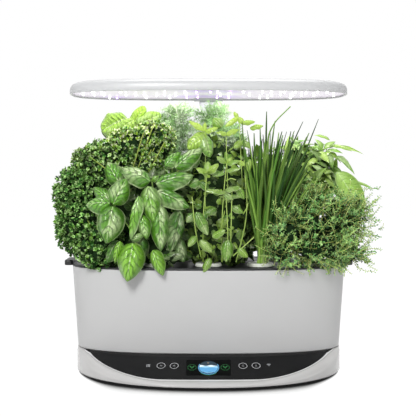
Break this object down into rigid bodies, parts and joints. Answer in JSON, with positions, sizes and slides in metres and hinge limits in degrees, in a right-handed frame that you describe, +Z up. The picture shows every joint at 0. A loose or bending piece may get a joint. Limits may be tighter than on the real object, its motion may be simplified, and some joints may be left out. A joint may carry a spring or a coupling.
{
  "type": "countertop hydroponic garden",
  "caption": "countertop hydroponic herb garden: grey water bowl with grown seed pods, sloping control panel with a screen, LED hood on a telescopic rear arm",
  "frame": {"origin": "on the surface the feet stand on, under the middle of the bowl and the base", "axes": "+Z up, -Y the side of the control panel, +X to the right as seen from the front"},
  "size_m": [0.4915, 0.286, 0.435],
  "materials": {
    "shell_grey": "satin moulded shell",
    "hood_white": "smooth moulded white",
    "bowl_grey": "satin moulded grey",
    "black_gloss": "polished black",
    "screen": "polished, lit from behind",
    "dark_plastic": "fine grain",
    "deck_black": "fine grain",
    "button_plastic": "satin",
    "foot_rubber": "matt",
    "circuit_board": "solder mask",
    "led_board": "white solder mask",
    "aluminium": "mill finish",
    "screw_steel": "plain",
    "filter_foam": "open foam",
    "clear_plastic": "translucent",
    "float_orange": "matt",
    "pod_plastic": "smooth moulded",
    "grow_sponge": "damp peat sponge",
    "parsley_leaf": "curled leaves",
    "basil_leaf": "waxy leaves",
    "mint_leaf": "soft leaves",
    "chive_leaf": "smooth blades",
    "thyme_leaf": "small matt leaves",
    "broad_leaf": "crinkled leaves",
    "dill_leaf": "feathery leaves",
    "thai_leaf": "smooth pointed leaves"
  },
  "bodies": {
    "garden": {"base_shell": "shell_grey", "base_plate": "dark_plastic", "control_panel": "black_gloss", "display_module": "screen", "main_board": "circuit_board", "power_jack": "dark_plastic", "foot_front_left": "foot_rubber", "foot_rear_left": "foot_rubber", "foot_front_right": "foot_rubber", "foot_rear_right": "foot_rubber", "arm_collar": "shell_grey", "outer_post": "shell_grey", "grow_bowl": "bowl_grey", "grow_deck": "deck_black", "pump_housing": "dark_plastic", "pump_filter": "filter_foam", "riser_tube": "clear_plastic", "pod_basket_parsley": "pod_plastic", "grow_sponge_parsley": "grow_sponge", "parsley_plant": "parsley_leaf", "pod_basket_basil": "pod_plastic", "grow_sponge_basil": "grow_sponge", "basil_plant": "basil_leaf", "pod_basket_mint": "pod_plastic", "grow_sponge_mint": "grow_sponge", "mint_plant": "mint_leaf", "pod_basket_chives": "pod_plastic", "grow_sponge_chives": "grow_sponge", "chives_plant": "chive_leaf", "pod_basket_thyme": "pod_plastic", "grow_sponge_thyme": "grow_sponge", "thyme_plant": "thyme_leaf", "pod_basket_broad_basil": "pod_plastic", "grow_sponge_broad_basil": "grow_sponge", "broad_basil_plant": "broad_leaf", "pod_basket_dill_left": "pod_plastic", "grow_sponge_dill_left": "grow_sponge", "dill_left_plant": "dill_leaf", "pod_basket_dill_right": "pod_plastic", "grow_sponge_dill_right": "grow_sponge", "dill_right_plant": "dill_leaf", "pod_basket_thai_basil": "pod_plastic", "grow_sponge_thai_basil": "grow_sponge", "thai_basil_plant": "thai_leaf"},
    "middle_stage": {"middle_post": "hood_white"},
    "hood_stage": {"upper_post": "hood_white", "arm_head": "hood_white", "hood_shell": "hood_white", "led_board": "led_board", "heat_spreader": "aluminium", "hood_screw_left": "screw_steel", "hood_screw_right": "screw_steel"},
    "lid": {"fill_port_lid": "deck_black"},
    "impeller": {"pump_impeller": "hood_white"},
    "water_float": {"level_float": "float_orange"},
    "release": {"release_button": "button_plastic"},
    "mode": {"mode_button": "button_plastic"},
    "light": {"light_button": "button_plastic"},
    "water": {"water_button": "button_plastic"},
    "feed": {"feed_button": "button_plastic"}
  },
  "joints": [
    {"name": "middle_post_slide", "type": "slide", "parent": "garden", "child": "middle_stage", "axis": [0, 0, 1], "range_m": [0, 0.165]},
    {"name": "upper_post_slide", "type": "slide", "parent": "middle_stage", "child": "hood_stage", "axis": [0, 0, 1], "range_m": [0, 0.165]},
    {"name": "release_press", "type": "slide", "parent": "garden", "child": "release", "axis": [0, -1, 0], "range_m": [0, 0.0025], "stiffness_N_per_m": 400},
    {"name": "mode_press", "type": "slide", "parent": "garden", "child": "mode", "axis": [0.0335, 0.4683, -0.8829], "range_m": [0, 0.001], "stiffness_N_per_m": 600},
    {"name": "light_press", "type": "slide", "parent": "garden", "child": "light", "axis": [0.0197, 0.4691, -0.8829], "range_m": [0, 0.001], "stiffness_N_per_m": 600},
    {"name": "water_press", "type": "slide", "parent": "garden", "child": "water", "axis": [-0.0197, 0.4691, -0.8829], "range_m": [0, 0.001], "stiffness_N_per_m": 600},
    {"name": "feed_press", "type": "slide", "parent": "garden", "child": "feed", "axis": [-0.0335, 0.4683, -0.8829], "range_m": [0, 0.001], "stiffness_N_per_m": 600},
    {"name": "fill_lid_hinge", "type": "hinge", "parent": "garden", "child": "lid", "pos_m": [0, 0.077, 0.1587], "axis": [-1, 0, 0], "range_deg": [0, 100]},
    {"name": "impeller_spin", "type": "hinge", "parent": "garden", "child": "impeller", "pos_m": [0.16, 0.005, 0.04], "axis": [0, 0, 1], "continuous": true},
    {"name": "float_rise", "type": "slide", "parent": "garden", "child": "water_float", "axis": [0, 0, 1], "range_m": [0, 0.07]}
  ]
}
